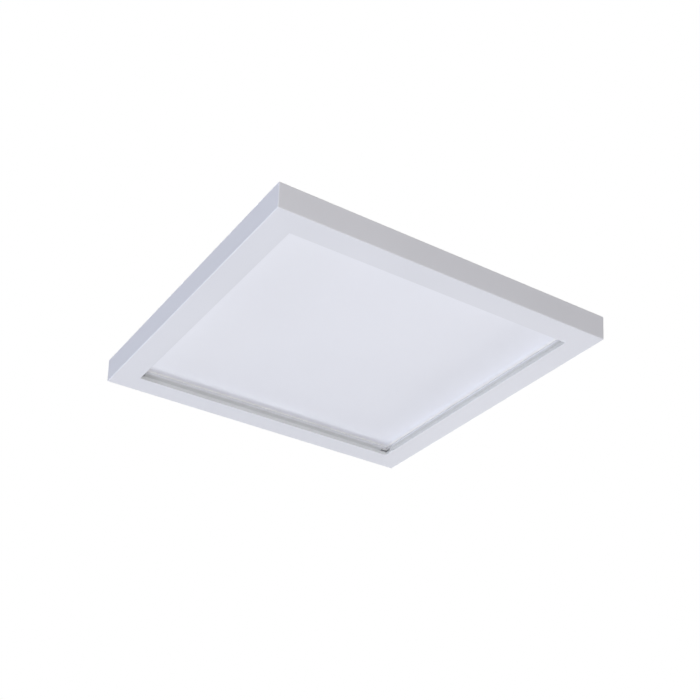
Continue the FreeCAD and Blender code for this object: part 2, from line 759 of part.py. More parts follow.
def make_switch_knob():
    """The sliding piece: a shoe inside the can and a stem out through the housing wall."""
    front = switch_front()
    middle = Z_PARTS + SWITCH_HEIGHT / 2
    gap = SELECTOR_CLEARANCE
    shoe_half = SWITCH_LENGTH / 2 - SWITCH_SKIN - SELECTOR_STEP - gap
    shoe_rise = SWITCH_HEIGHT / 2 - SWITCH_SKIN - gap
    inner = front + SWITCH_SKIN + gap
    outer = front + SWITCH_DEPTH - SWITCH_SKIN - gap
    shoe = box(-shoe_half, shoe_half, inner, outer, middle - shoe_rise, middle + shoe_rise)
    stem_half = SELECTOR_STEM_LENGTH / 2
    rise = SELECTOR_STEM_HEIGHT / 2
    end = -DRIVER_LENGTH / 2 - SELECTOR_REACH
    stem = box(-stem_half, stem_half, end, inner, middle - rise, middle + rise)
    return shoe.fuse(stem).removeSplitter()


def offset_outline(points, thickness):
    """The outline of a bent strip: a middle line thickened by half on each side."""
    left = []
    right = []
    last = len(points) - 1
    for i, (x, z) in enumerate(points):
        before = points[max(i - 1, 0)]
        after = points[min(i + 1, last)]
        normals = []
        for a, b in ((before, (x, z)), ((x, z), after)):
            length = math.hypot(b[0] - a[0], b[1] - a[1])
            if length > 0:
                normals.append((-(b[1] - a[1]) / length, (b[0] - a[0]) / length))
        nx = sum(n[0] for n in normals) / len(normals)
        nz = sum(n[1] for n in normals) / len(normals)
        size = nx * nx + nz * nz
        left.append((x + nx / size * thickness / 2, z + nz / size * thickness / 2))
        right.append((x - nx / size * thickness / 2, z - nz / size * thickness / 2))
    return left + right[::-1]


def make_spring():
    """The +X retaining spring: a riveted foot, a leg through the bracket and an outward catch."""
    low = Z_BACK + SPRING_SHEET / 2
    shoulder = SPRING_CATCH_GAP
    crest = shoulder + SPRING_CATCH_HEIGHT
    line = [(SPRING_DISTANCE + SPRING_FOOT, low), (SPRING_DISTANCE, low)]
    line += [(SPRING_DISTANCE, shoulder), (SPRING_DISTANCE + SPRING_CATCH, crest)]
    line += [(SPRING_DISTANCE - SPRING_TIP_INSET, SPRING_TIP_HEIGHT)]
    leaf = profile_xz(offset_outline(line, SPRING_SHEET), -SPRING_WIDTH / 2, SPRING_WIDTH / 2)
    holes = []
    for x, y in rivet_places(1):
        holes.append(small_hole(x, y, RIVET_RADIUS, Z_BACK, Z_BACK + SPRING_SHEET))
    return leaf.cut(holes)


def rivet_places(side):
    """Two rivets abreast through the foot of a spring."""
    x = SPRING_DISTANCE + SPRING_FOOT / 2
    y = SPRING_WIDTH / 2 - RIVET_EDGE_DISTANCE
    return [(side * x, y), (side * x, -y)]


def make_rivets():
    rivets = []
    seat = Z_BACK + SPRING_SHEET
    length = seat - Z_PLATE
    for x, y in rivet_places(1) + rivet_places(-1):
        rivets.append(headed_pin(x, y, seat, RIVET_HEAD_RADIUS, RIVET_HEAD_HEIGHT, RIVET_RADIUS, length))
    return rivets


def ground_y():
    return BRACKET_LENGTH / 2 - GROUND_EDGE_DISTANCE


def make_bracket():
    """The root: a stamped plate on the junction box, with a window for the driver."""
    half_x = BRACKET_WIDTH / 2
    half_y = BRACKET_LENGTH / 2
    plate = slab(half_x, half_y, -BRACKET_SHEET, 0, BRACKET_CORNER_RADIUS)
    for side in (-1, 1):
        low, high = sorted((side * (half_x - BRACKET_SHEET), side * half_x))
        reach = BRACKET_FLANGE_LENGTH / 2
        flange = box(low, high, -reach, reach, -BRACKET_SHEET - BRACKET_FLANGE, 0)
        plate = plate.fuse(flange)
    window_x = DRIVER_WIDTH / 2 + DRIVER_TAB_REACH + WINDOW_CLEARANCE
    window_y = DRIVER_LENGTH / 2 + SELECTOR_REACH + WINDOW_CLEARANCE
    cuts = [slab(window_x, window_y, -BRACKET_SHEET, 0, DRIVER_CORNER_RADIUS)]
    for side in (-1, 1):
        y = side * BOX_SCREW_SPACING / 2
        cuts.append(slot_z(0, y, BOX_SLOT_RADIUS, BOX_SLOT_LENGTH, -BRACKET_SHEET, 0))
        outer = SPRING_DISTANCE + SPRING_SHEET / 2 + SPRING_SLOT_FREE
        inner = SPRING_DISTANCE - SPRING_SHEET / 2 - SPRING_CATCH - SPRING_SLOT_FREE
        reach = SPRING_WIDTH / 2 + SPRING_SLOT_FREE
        low, high = sorted((side * inner, side * outer))
        cuts.append(box(low, high, -reach, reach, -BRACKET_SHEET, 0))
    cuts.append(cylinder(GROUND_OFFSET, ground_y(), GROUND_SCREW_RADIUS, -BRACKET_SHEET, 0))
    return plate.cut(cuts).removeSplitter()


def make_ground_screw():
    """A slotted hexagon screw, its head below the bracket and its shank up in the box."""
    seat = -BRACKET_SHEET
    low = seat - GROUND_HEAD_HEIGHT
    head = prism(GROUND_OFFSET, ground_y(), GROUND_HEAD_RADIUS, low, seat, HEX_SIDES)
    depth = low + GROUND_HEAD_HEIGHT / 2
    slot = centred_box(GROUND_OFFSET, ground_y(), 2 * GROUND_HEAD_RADIUS, GROUND_SLOT_WIDTH, low, depth)
    shank = cylinder(GROUND_OFFSET, ground_y(), GROUND_SCREW_RADIUS, seat, seat + GROUND_SCREW_LENGTH)
    return head.cut(slot).fuse(shank)


def stand(x, y, size_x, size_y, height):
    """A small rectangular component that stands on the driver board."""
    return centred_box(x, y, size_x, size_y, Z_PARTS, Z_PARTS + height)


def save_transformer_and_choke():
    core, bobbin, winding = make_transformer()
    save("transformer_core", core)
    save("transformer_bobbin", bobbin)
    save("transformer_winding", winding)
    x = board_half_x() - 2 * CHOKE_RADIUS - 3 * PART_GAP
    y = TRANSFORMER_Y - PART_GAP
    core, winding = make_choke(x, y)
    save("choke_core", core)
    save("choke_winding", winding)


def save_input_parts():
    """The parts between the mains terminal and the transformer."""
    post_x, post_y = standoff_places()[-1]
    x = -post_x + INPUT_CAP_RADIUS - PART_GAP / 2
    y = post_y - INPUT_CAP_RADIUS - PART_GAP
    save("input_capacitor", make_capacitor(x, y, INPUT_CAP_RADIUS, INPUT_CAP_HEIGHT))
    x = TERMINAL_WIDTH / 2 + PART_GAP + FUSE_LENGTH / 2
    y = board_half_y() - FUSE_WIDTH / 2 - 2 * PART_GAP
    save("fuse", stand(x, y, FUSE_LENGTH, FUSE_WIDTH, FUSE_HEIGHT))
    x = post_x - FILM_CAP_WIDTH / 2 - PART_GAP
    y = y - FUSE_WIDTH / 2 - PART_GAP - FILM_CAP_LENGTH / 2
    save("film_capacitor", stand(x, y, FILM_CAP_WIDTH, FILM_CAP_LENGTH, FILM_CAP_HEIGHT))
    y = DRIVER_LENGTH / 2 - TERMINAL_DEPTH - 4 * PART_GAP - RECTIFIER_WIDTH
    save("bridge_rectifier", stand(0, y, RECTIFIER_LENGTH, RECTIFIER_WIDTH, RECTIFIER_HEIGHT))


def save_output_parts():
    """The parts between the transformer and the selector end."""
    save("driver_chip", stand(CHIP_LENGTH / 2 + PART_GAP, 0, CHIP_LENGTH, CHIP_WIDTH, CHIP_HEIGHT))
    x = SWITCH_LENGTH / 2
    y = switch_front() + SWITCH_DEPTH + PART_GAP + OUTPUT_CAP_RADIUS
    save("output_capacitor", make_capacitor(x, y, OUTPUT_CAP_RADIUS, OUTPUT_CAP_HEIGHT))
    post_x, post_y = standoff_places()[0]
    x = post_x + CONNECTOR_WIDTH / 2 - PART_GAP
    y = post_y + STANDOFF_RADIUS + 2 * PART_GAP + CONNECTOR_LENGTH / 2
    save("output_connector", stand(x, y, CONNECTOR_WIDTH, CONNECTOR_LENGTH, CONNECTOR_HEIGHT))
    save("selector_switch", make_switch_body())
    save("selector_knob", make_switch_knob())


def save_light_stack():
    save("lens_tray", make_lens_tray())
    save("lens", make_lens())
    save("light_guide", make_light_guide())
    save("reflector_sheet", make_reflector())
    save("guide_cushions", make_guide_cushions())
    strip = make_led_strip()
    leds = make_leds()
    for i, side in enumerate(("right", "rear", "left", "front")):
        save("led_strip_" + side, turned(strip, 90 * i))
        save("leds_" + side, [turned(led, 90 * i) for led in leds])


def save_rear():
    save("back_plate", make_back_plate())
    save("back_plate_screws", make_plate_screws())
    save("ceiling_gasket", make_gasket())
    save("driver_housing", make_driver_housing())
    save("driver_screws", make_driver_screws())
    save("insulation_sheet", make_insulation_sheet())
    save("driver_board", make_driver_board())
    save("board_standoffs", make_standoffs())
    body, screws = make_terminal()
    save("mains_terminal", body)
    save("terminal_screws", screws)
    spring = make_spring()
    save("retaining_spring_right", spring)
    save("retaining_spring_left", turned(spring, 180))
    save("spring_rivets", make_rivets())
    save("mounting_bracket", make_bracket())
    save("ground_screw", make_ground_screw())


save("frame", make_frame())
save_light_stack()
save_rear()
save_transformer_and_choke()
save_input_parts()
save_output_parts()
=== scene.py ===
import json
import math

import bmesh
import bpy
from mathutils import Matrix, Quaternion, Vector


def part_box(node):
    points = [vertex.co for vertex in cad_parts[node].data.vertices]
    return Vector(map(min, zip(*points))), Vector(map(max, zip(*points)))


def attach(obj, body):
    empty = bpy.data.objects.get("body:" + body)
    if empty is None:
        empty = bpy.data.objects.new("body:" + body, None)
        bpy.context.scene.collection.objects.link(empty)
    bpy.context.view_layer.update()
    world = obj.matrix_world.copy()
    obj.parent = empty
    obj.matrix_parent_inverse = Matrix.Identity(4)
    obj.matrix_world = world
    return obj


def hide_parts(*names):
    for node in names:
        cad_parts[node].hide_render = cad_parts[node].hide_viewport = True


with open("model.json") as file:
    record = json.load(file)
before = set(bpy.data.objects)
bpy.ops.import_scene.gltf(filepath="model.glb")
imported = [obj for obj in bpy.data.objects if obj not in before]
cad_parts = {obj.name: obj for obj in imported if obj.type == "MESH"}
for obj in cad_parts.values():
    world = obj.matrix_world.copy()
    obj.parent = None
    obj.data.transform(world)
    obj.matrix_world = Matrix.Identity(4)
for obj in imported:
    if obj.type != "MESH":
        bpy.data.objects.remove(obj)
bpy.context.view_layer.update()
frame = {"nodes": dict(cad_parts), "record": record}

# Lengths are in metres. The origin is the centre of the ceiling plane and the light hangs below it.
MM = 0.001
NODES = frame["nodes"]
RECORD = frame["record"]
HOME = {node: body for body, nodes in RECORD["behaviour"]["bodies"].items() for node in nodes}
SLOT = {row["node"]: row["material_slot"] for row in RECORD["subparts"]}

# Camera, fitted to the straight edges of the light in the 700 x 700 photograph
CAMERA_PLACE = Vector((-0.4398, -0.7203, -0.5136))
CAMERA_AIM = Vector((0.4508, 0.7308, 0.5125))
CAMERA_ROLL = math.radians(2.03)
CAMERA_LENS = 60.61
CAMERA_SENSOR = 36.0

# Stage
FLOOR_DROP = 2.6
FLOOR_SIZE = 160.0
FLOOR_PALENESS = 0.85
SURROUND_LIGHT = 0.13

# Tray wall and lens: each is painted paler where the two meet, painted light over the shade that falls in
# that corner under the lip
WALL_PAINTED_LIGHT_FULL = -9.6 * MM
WALL_PAINTED_LIGHT_START = -14.8 * MM
LENS_PAINTED_LIGHT_FULL = 132.5 * MM
LENS_PAINTED_LIGHT_START = 128.0 * MM

# Lip behind the face: painted shade, greyer and more neutral than the face, for the shade that falls on the
# lip inside the opening
LIP_FRONT = -20.95 * MM
LIP_START = -20.6 * MM
LIP_NEAR = 128.6 * MM
LIP_FAR = 130.0 * MM

# Frame: the opening in its face ends within OPENING_REACH of the middle, along X and along Y. The back
# edge of its lip lies at LIP_BACK, within LIP_REACH.
OPENING_REACH = 127.4 * MM
LIP_BACK = -17.2 * MM
LIP_REACH = 128.2 * MM

# Screws with a cross recess: the level that the head sits on and the radius of the shank. Each is turned
# DRIVEN_TURN degrees past the one before.
SCREWS = {"back_plate_screws": (-3.95 * MM, 1.25 * MM), "driver_screws": (-1.95 * MM, 1.4 * MM)}
DRIVEN_TURN = 37

# Ground screw: its hexagon head, the slot across it (half its length, half its width, depth), its thread
HEXAGON_RADIUS = 3.6 * MM
HEXAGON_HEIGHT = 2.0 * MM
GROUND_SLOT_REACH = 3.7 * MM
GROUND_SLOT_HALF = 0.5 * MM
GROUND_SLOT_DEPTH = 1.0 * MM
GROUND_CORE = 1.6 * MM
GROUND_CREST = 2.0 * MM
GROUND_PITCH = 0.7 * MM
GROUND_THREAD = 7.4 * MM
GROUND_SHANK = 8.0 * MM

# Retaining springs, by the line of the right one: a leg rises at LEAF_DISTANCE to LEAF_LEG_TOP. The catch
# and the tip are given as a distance out from the leg and a height.
LEAF_SHEET = 0.5 * MM
LEAF_DISTANCE = 43.6 * MM
LEAF_LEG_TOP = 0.3 * MM
LEAF_CATCH = (3.2 * MM, 2.7 * MM)
LEAF_TIP = (-1.0 * MM, 8.5 * MM)
LEAF_BEND = 0.6 * MM
LEAF_TIP_CORNER = 2.2 * MM

# Light source packages
LED_HALF = Vector((0.45, 1.5, 0.7)) * MM
LED_RIM = 0.22 * MM
LED_WELL = 0.15 * MM

# Windings
TRANSFORMER_WIRE = 0.35 * MM
TRANSFORMER_CORNER = 2.3 * MM
CHOKE_WIRE = 0.45 * MM

# Chips: how far the ends draw in, then the leads, as long as LEAD_SHARE of the chip and as wide as
# LEAD_WIDTH of the distance between them
CHIP_DRAFT = (0.94, 0.92, 1)
LEAD_SHARE = 0.18
LEAD_WIDTH = 0.3
LEAD_SHEET = 0.14 * MM
LEAD_BEND = 0.05 * MM

# Bracket: the edges of its two bends end within FLANGE_REACH along Y
FLANGE_REACH = 39.1 * MM
FLANGE_BEND = 1.0 * MM

# Back plate: edges this near to the middle of a hole stay crisp
HOLE_CLEARANCE = 3.0 * MM

# Shading is smooth across edges below this angle
SMOOTH_BELOW = math.radians(35)

# Lamps: name, degrees below the ceiling, degrees turned from -Y towards -X, distance, size, watts, colour
LAMPS = (
    ("lamp_below", 71, 130, 1.8, 1.0, 11.6, (0.92, 0.955, 1.0)),
    ("lamp_key", 40, 31.4, 3.0, 0.6, 31.0, (1.0, 0.995, 1.0)),
    ("lamp_front", -10, 18, 1.8, 0.6, 6.3, (1.0, 0.97, 0.93)),
    ("lamp_left", 4, 95, 1.8, 0.6, 8.3, (0.70, 0.785, 1.0)),
    ("lamp_right", 4, 228, 1.8, 0.7, 10.0, (1.0, 0.99, 0.98)),
    ("lamp_above", -50, 200, 2.0, 1.2, 38.0, (1.0, 0.99, 0.98)),
)


class Value:
    """One socket of a recipe. Python's operators on it add the Math nodes."""

    def __init__(self, recipe, socket):
        self.recipe = recipe
        self.socket = socket

    def maths(self, operation, first, second):
        return self.recipe.node("ShaderNodeMath", {"operation": operation}, {0: first, 1: second})

    def __add__(self, other):
        return self.maths("ADD", self, other)

    def __sub__(self, other):
        return self.maths("SUBTRACT", self, other)

    def __rsub__(self, other):
        return self.maths("SUBTRACT", other, self)

    def __mul__(self, other):
        return self.maths("MULTIPLY", self, other)

    __radd__ = __add__
    __rmul__ = __mul__

    def size(self):
        return self.maths("ABSOLUTE", self, 0.0)

    def maximum(self, other):
        return self.maths("MAXIMUM", self, other)

    def ramp(self, low, high):
        """0 below low, 1 above high, smooth between."""
        sockets = {"Value": self, "From Min": low, "From Max": high}
        return self.recipe.node("ShaderNodeMapRange", {"interpolation_type": "SMOOTHSTEP"}, sockets)


class Recipe:
    """The nodes of a material or of the surround."""

    def __init__(self, owner):
        owner.use_nodes = True
        self.tree = owner.node_tree

    def fill(self, socket, value):
        if isinstance(value, Value):
            self.tree.links.new(value.socket, socket)
        elif socket.type == "RGBA":
            socket.default_value = (*value[:3], 1.0)
        else:
            socket.default_value = value

    def node(self, kind, settings, sockets, output=0):
        """Adds a node: its settings first, then its sockets, and returns one output."""
        made = self.tree.nodes.new(kind)
        for setting, value in settings.items():
            setattr(made, setting, value)
        for socket, value in sockets.items():
            self.fill(made.inputs[socket], value)
        return Value(self, made.outputs[output])

    def show_white(self, surface, plain, most=1.0):
        """Shows a plain white, up to the share most, to rays from the camera and through gloss or glass."""
        seen = self.node("ShaderNodeLightPath", {}, {}, "Is Camera Ray")
        for ray in ("Is Glossy Ray", "Is Transmission Ray"):
            seen = seen.maximum(self.node("ShaderNodeLightPath", {}, {}, ray))
        white = self.node(plain, {}, {"Color": (1.0, 1.0, 1.0), "Strength": 1.0})
        shown = self.node("ShaderNodeMixShader", {}, {0: seen * most, 1: surface, 2: white})
        output = next(node for node in self.tree.nodes if node.type.startswith("OUTPUT"))
        self.fill(output.inputs["Surface"], shown)


class Finish(Recipe):
    """A procedural material: one Principled shader and the nodes that vary it."""

    def __init__(self, name, color, roughness, **constants):
        self.material = bpy.data.materials.new(name)
        super().__init__(self.material)
        self.shader = self.tree.nodes["Principled BSDF"]
        self.set("Base Color", color)
        self.set("Roughness", roughness)
        for socket, value in constants.items():
            self.set(socket.replace("_", " "), value)
        self.place = self.node("ShaderNodeTexCoord", {}, {}, "Object")

    def set(self, socket, value):
        self.fill(self.shader.inputs[socket], value)

    def along(self, axis):
        return self.node("ShaderNodeSeparateXYZ", {}, {"Vector": self.place}, axis)

    def reach(self):
        """The larger of the distances from the centre, along X and along Y."""
        return self.along("X").size().maximum(self.along("Y").size())

    def noise(self, scale, detail=2.0, roughness=0.5, stretch=None):
        place = self.place
        if stretch:
            place = self.node("ShaderNodeMapping", {}, {"Vector": place, "Scale": stretch})
        sockets = {"Vector": place, "Scale": scale, "Detail": detail, "Roughness": roughness}
        return self.node("ShaderNodeTexNoise", {}, sockets)

    def cells(self, scale, feature="F1", output="Distance"):
        sockets = {"Vector": self.place, "Scale": scale}
        return self.node("ShaderNodeTexVoronoi", {"feature": feature}, sockets, output)

    def blend(self, factor, first, second):
        settings = {"data_type": "RGBA", "clamp_factor": True}
        return self.node("ShaderNodeMix", settings, {0: factor, 6: first, 7: second}, 2)

    def bump(self, height, distance, strength):
        sockets = {"Height": height, "Distance": distance, "Strength": strength}
        self.set("Normal", self.node("ShaderNodeBump", {}, sockets, "Normal"))


def shaded(color, factor):
    return tuple(min(1.0, channel * factor) for channel in color)


def mould_white():
    """Matt white moulding with a fine spark-eroded grain and faint cloudiness, and painted shade greying the
    lip behind the face.
    """
    white = (0.785, 0.79, 0.848)
    finish = Finish("mould_white", white, 0.46, IOR=1.46)
    cloud = finish.noise(9.0, 3.0).ramp(0.3, 0.7)
    grain = finish.noise(2600.0, 3.0, 0.6)
    body = finish.blend(cloud, shaded(white, 0.985), shaded(white, 1.01))
    # Painted shade: the lip inside the opening is blended to a greyer, more neutral white than the face
    inside = finish.along("Z").ramp(LIP_FRONT, LIP_START) * (1.0 - finish.reach().ramp(LIP_NEAR, LIP_FAR))
    finish.set("Base Color", finish.blend(inside, body, (0.735, 0.74, 0.73)))
    finish.set("Roughness", 0.41 + 0.1 * grain + 0.03 * cloud)
    finish.bump(grain, 0.02 * MM, 0.5)
    return finish


def enamel_white():
    """White baked enamel on folded sheet, with faint orange peel. Its base is greyer than the frame's white
    as painted shade of the recess, and painted light makes it paler next to the lens.
    """
    # The base is greyer than the frame's white: painted shade of the recess that the tray lines
    white = (0.65, 0.655, 0.64)
    finish = Finish("enamel_white", white, 0.38, Coat_Weight=0.15, Coat_Roughness=0.25)
    peel = finish.noise(900.0, 2.0)
    wide = finish.noise(14.0, 2.0).ramp(0.3, 0.7)
    coat = finish.blend(wide, shaded(white, 0.985), shaded(white, 1.015))
    # Painted light: the wall is blended paler towards the lens, over the shade in the corner under the lip
    pale = finish.along("Z").ramp(WALL_PAINTED_LIGHT_START, WALL_PAINTED_LIGHT_FULL)
    finish.set("Base Color", finish.blend(pale, coat, (0.87, 0.875, 0.91)))
    finish.set("Roughness", 0.34 + 0.1 * peel)
    finish.bump(peel, 0.03 * MM, 0.5)
    return finish


def opal():
    """Opal diffuser: a satin skin over a milky body, with painted light that whitens it by its edges, where
    the lip shades it.
    """
    milk = (0.87, 0.875, 0.94)
    finish = Finish("opal", milk, 0.5, Subsurface_Weight=0.1, Subsurface_Scale=0.001, IOR=1.45)
    finish.set("Subsurface Radius", (1.0, 1.0, 1.0))
    cloud = finish.noise(6.0, 2.0).ramp(0.3, 0.7)
    satin = finish.noise(1500.0, 2.0)
    body = finish.blend(cloud, shaded(milk, 0.99), shaded(milk, 1.01))
    # Painted light: the lens is blended to white by its edges, over the shadow that the lip casts there
    finish.set("Base Color", finish.blend(finish.reach().ramp(LENS_PAINTED_LIGHT_START, LENS_PAINTED_LIGHT_FULL), body, (1.0, 1.0, 1.0)))
    finish.set("Roughness", 0.5 + 0.08 * satin)
    finish.bump(satin, 0.01 * MM, 0.4)
    return finish


def clear_acrylic():
    """Clear light guide with a fine field of printed white dots."""
    finish = Finish("clear_acrylic", (0.93, 0.96, 0.97), 0.08, Transmission_Weight=0.85, IOR=1.49)
    dots = 1.0 - finish.cells(520.0).ramp(0.28, 0.36)
    finish.set("Base Color", finish.blend(dots, (0.9, 0.95, 0.96), (1.0, 1.0, 1.0)))
    finish.set("Roughness", 0.06 + 0.6 * dots)
    return finish


def reflector_film():
    white = (0.9, 0.9, 0.9)
    finish = Finish("reflector_film", white, 0.55)
    cloud = finish.noise(40.0, 4.0)
    finish.set("Base Color", finish.blend(cloud, shaded(white, 0.96), shaded(white, 1.02)))
    finish.bump(finish.noise(300.0, 2.0), 0.02 * MM, 0.3)
    return finish


def solder_mask_white():
    """White solder mask with a faint weave under it."""
    white = (0.82, 0.82, 0.79)
    finish = Finish("solder_mask_white", white, 0.36, Coat_Weight=0.3)
    weave = finish.noise(1400.0, 1.0, 0.4, (1.0, 0.2, 1.0))
    finish.set("Base Color", finish.blend(weave, shaded(white, 0.95), shaded(white, 1.03)))
    finish.bump(weave, 0.02 * MM, 0.5)
    return finish


def phosphor():
    finish = Finish("phosphor", (0.86, 0.68, 0.12), 0.5, Subsurface_Weight=0.2, Subsurface_Scale=0.0005)
    grains = finish.noise(5000.0, 3.0)
    finish.set("Base Color", finish.blend(grains, (0.80, 0.58, 0.08), (0.92, 0.76, 0.2)))
    return finish


def silicone():
    finish = Finish("silicone", (0.72, 0.74, 0.74), 0.42, Subsurface_Weight=0.3, Subsurface_Scale=0.002)
    haze = finish.noise(200.0, 3.0)
    finish.set("Roughness", 0.36 + 0.14 * haze)
    finish.set("Base Color", finish.blend(haze, (0.68, 0.70, 0.70), (0.78, 0.80, 0.80)))
    return finish


def zinc():
    """Zinc plated steel with a faint iridescent cast and dull handling marks."""
    finish = Finish("zinc", (0.62, 0.63, 0.64), 0.3, Metallic=1.0)
    cast = finish.noise(140.0, 3.0).ramp(0.35, 0.65)
    scuff = finish.noise(900.0, 4.0, 0.6)
    finish.set("Base Color", finish.blend(cast, (0.60, 0.61, 0.60), (0.68, 0.66, 0.60)))
    finish.set("Roughness", 0.24 + 0.2 * scuff)
    finish.bump(scuff, 0.01 * MM, 0.5)
    return finish


def galvanised():
    """Galvanised sheet: small spangles of slightly different brightness and gloss."""
    finish = Finish("galvanised", (0.54, 0.56, 0.58), 0.4, Metallic=1.0)
    spangle = finish.cells(330.0, "F1", "Color")
    tone = finish.node("ShaderNodeSeparateColor", {}, {"Color": spangle}, 0)
    edge = finish.cells(330.0, "DISTANCE_TO_EDGE").ramp(0.0, 0.08)
    fine = finish.noise(1200.0, 3.0)
    shade = finish.blend(tone, (0.49, 0.51, 0.53), (0.59, 0.61, 0.625))
    finish.set("Base Color", finish.blend(edge, (0.50, 0.52, 0.535), shade))
    finish.set("Roughness", 0.38 + 0.1 * tone + 0.08 * fine)
    finish.bump(edge + 0.3 * fine, 0.005 * MM, 0.5)
    return finish


def plate_white():
    """Pre-painted white sheet for the back plate, a little dulled by handling."""
    white = (0.72, 0.725, 0.735)
    finish = Finish("plate_white", white, 0.45)
    cloud = finish.noise(11.0, 4.0).ramp(0.3, 0.7)
    scuff = finish.noise(60.0, 5.0, 0.65, (1.0, 4.0, 1.0)).ramp(0.62, 0.78)
    peel = finish.noise(1100.0, 2.0)
    base = finish.blend(cloud, shaded(white, 0.97), shaded(white, 1.02))
    finish.set("Base Color", finish.blend(scuff, base, shaded(white, 0.93)))
    finish.set("Roughness", 0.38 + 0.08 * peel + 0.1 * scuff)
    finish.bump(peel, 0.025 * MM, 0.5)
    return finish


def foam():
    """Charcoal closed-cell foam."""
    finish = Finish("foam", (0.05, 0.052, 0.056), 0.85, Sheen_Weight=0.2)
    cell = finish.cells(1400.0)
    tone = finish.noise(500.0, 3.0)
    finish.set("Base Color", finish.blend(tone, (0.035, 0.037, 0.04), (0.085, 0.088, 0.094)))
    finish.set("Roughness", 0.75 + 0.2 * cell)
    finish.bump(cell, 0.15 * MM, 0.8)
    return finish


def housing_white():
    """Flame-retardant white moulding, coarser in grain than the frame."""
    white = (0.74, 0.745, 0.735)
    finish = Finish("housing_white", white, 0.52)
    grain = finish.noise(1500.0, 3.0, 0.6)
    cloud = finish.noise(30.0, 3.0).ramp(0.3, 0.7)
    finish.set("Base Color", finish.blend(cloud, shaded(white, 0.96), shaded(white, 1.02)))
    finish.set("Roughness", 0.45 + 0.14 * grain)
    finish.bump(grain, 0.05 * MM, 0.6)
    return finish


def board_green():
    """Green solder mask over square-cornered areas of copper, with small plated holes."""
    finish = Finish("board_green", (0.02, 0.20, 0.07), 0.34, Coat_Weight=0.4, Coat_Roughness=0.15)
    settings = {"feature": "F1", "distance": "CHEBYCHEV"}
    area = finish.node("ShaderNodeTexVoronoi", settings, {"Vector": finish.place, "Scale": 150.0}, "Color")
    copper = finish.node("ShaderNodeSeparateColor", {}, {"Color": area}, 0).ramp(0.44, 0.46)
    holes = 1.0 - finish.cells(240.0).ramp(0.09, 0.12)
    weave = finish.noise(1500.0, 1.0)
    mask = finish.blend(copper, (0.010, 0.115, 0.045), (0.025, 0.215, 0.08))
    finish.set("Base Color", finish.blend(holes, mask, (0.42, 0.42, 0.38)))
    finish.set("Roughness", 0.28 + 0.12 * weave)
    finish.bump(copper + 0.2 * weave, 0.03 * MM, 0.6)
    return finish


def plain_moulding(name, color, roughness, grain_scale=1200.0):
    """A coloured moulding with a fine grain."""
    finish = Finish(name, color, roughness)
    grain = finish.noise(grain_scale, 3.0, 0.6)
    finish.set("Base Color", finish.blend(grain, shaded(color, 0.9), shaded(color, 1.08)))
    finish.set("Roughness", (roughness - 0.06) + 0.12 * grain)
    finish.bump(grain, 0.03 * MM, 0.5)
    return finish


def spring_steel():
    """Bright strip steel with rolling lines along the leaf."""
    finish = Finish("spring_steel", (0.56, 0.57, 0.59), 0.25, Metallic=1.0)
    rolled = finish.noise(1.0, 3.0, 0.6, (300.0, 4000.0, 300.0))
    finish.set("Base Color", finish.blend(rolled, (0.48, 0.49, 0.51), (0.64, 0.65, 0.67)))
    finish.set("Roughness", 0.2 + 0.16 * rolled)
    finish.bump(rolled, 0.004 * MM, 0.6)
    return finish


def copper_wire():
    finish = Finish("copper_wire", (0.60, 0.24, 0.08), 0.25, Metallic=0.9, Coat_Weight=0.6)
    tone = finish.noise(700.0, 2.0)
    finish.set("Base Color", finish.blend(tone, (0.50, 0.18, 0.05), (0.68, 0.30, 0.12)))
    return finish


def passivated_green():
    finish = Finish("passivated_green", (0.05, 0.30, 0.10), 0.3, Metallic=0.7)
    tone = finish.noise(500.0, 3.0)
    finish.set("Base Color", finish.blend(tone, (0.03, 0.22, 0.07), (0.08, 0.38, 0.14)))
    finish.set("Roughness", 0.24 + 0.16 * tone)
    return finish


def sleeve():
    """Dark sleeve of the electrolytic cans."""
    finish = Finish("sleeve", (0.03, 0.04, 0.09), 0.3, Coat_Weight=0.3)
    tone = finish.noise(400.0, 2.0)
    finish.set("Base Color", finish.blend(tone, (0.022, 0.03, 0.075), (0.045, 0.055, 0.115)))
    finish.set("Roughness", 0.24 + 0.12 * tone)
    return finish


def make_finishes():
    """One finish for each material slot of the record."""
    return {
        "frame": mould_white(),
        "tray": enamel_white(),
        "lens": opal(),
        "guide": clear_acrylic(),
        "reflector": reflector_film(),
        "strip": solder_mask_white(),
        "led": phosphor(),
        "silicone": silicone(),
        "zinc": zinc(),
        "steel_plate": plate_white(),
        "foam": foam(),
        "housing": housing_white(),
        "board": board_green(),
        "film": plain_moulding("insulating_film", (0.78, 0.74, 0.60), 0.4, 300.0),
        "nylon": plain_moulding("nylon", (0.78, 0.78, 0.72), 0.4),
        "ferrite": plain_moulding("ferrite", (0.035, 0.035, 0.04), 0.55, 2200.0),
        "copper": copper_wire(),
        "bobbin": plain_moulding("bobbin_black", (0.018, 0.018, 0.02), 0.45),
        "can": sleeve(),
        "filmcap": plain_moulding("capacitor_yellow", (0.62, 0.40, 0.05), 0.3),
        "chip": plain_moulding("epoxy_black", (0.015, 0.015, 0.016), 0.5, 3000.0),
        "terminal": plain_moulding("terminal_green", (0.03, 0.22, 0.08), 0.35),
        "spring": spring_steel(),
        "galvanised": galvanised(),
        "green_screw": passivated_green(),
        "knob": plain_moulding("knob_black", (0.02, 0.02, 0.022), 0.42),
        "fuse": plain_moulding("fuse_brown", (0.10, 0.04, 0.02), 0.3),
    }


FINISH = make_finishes()


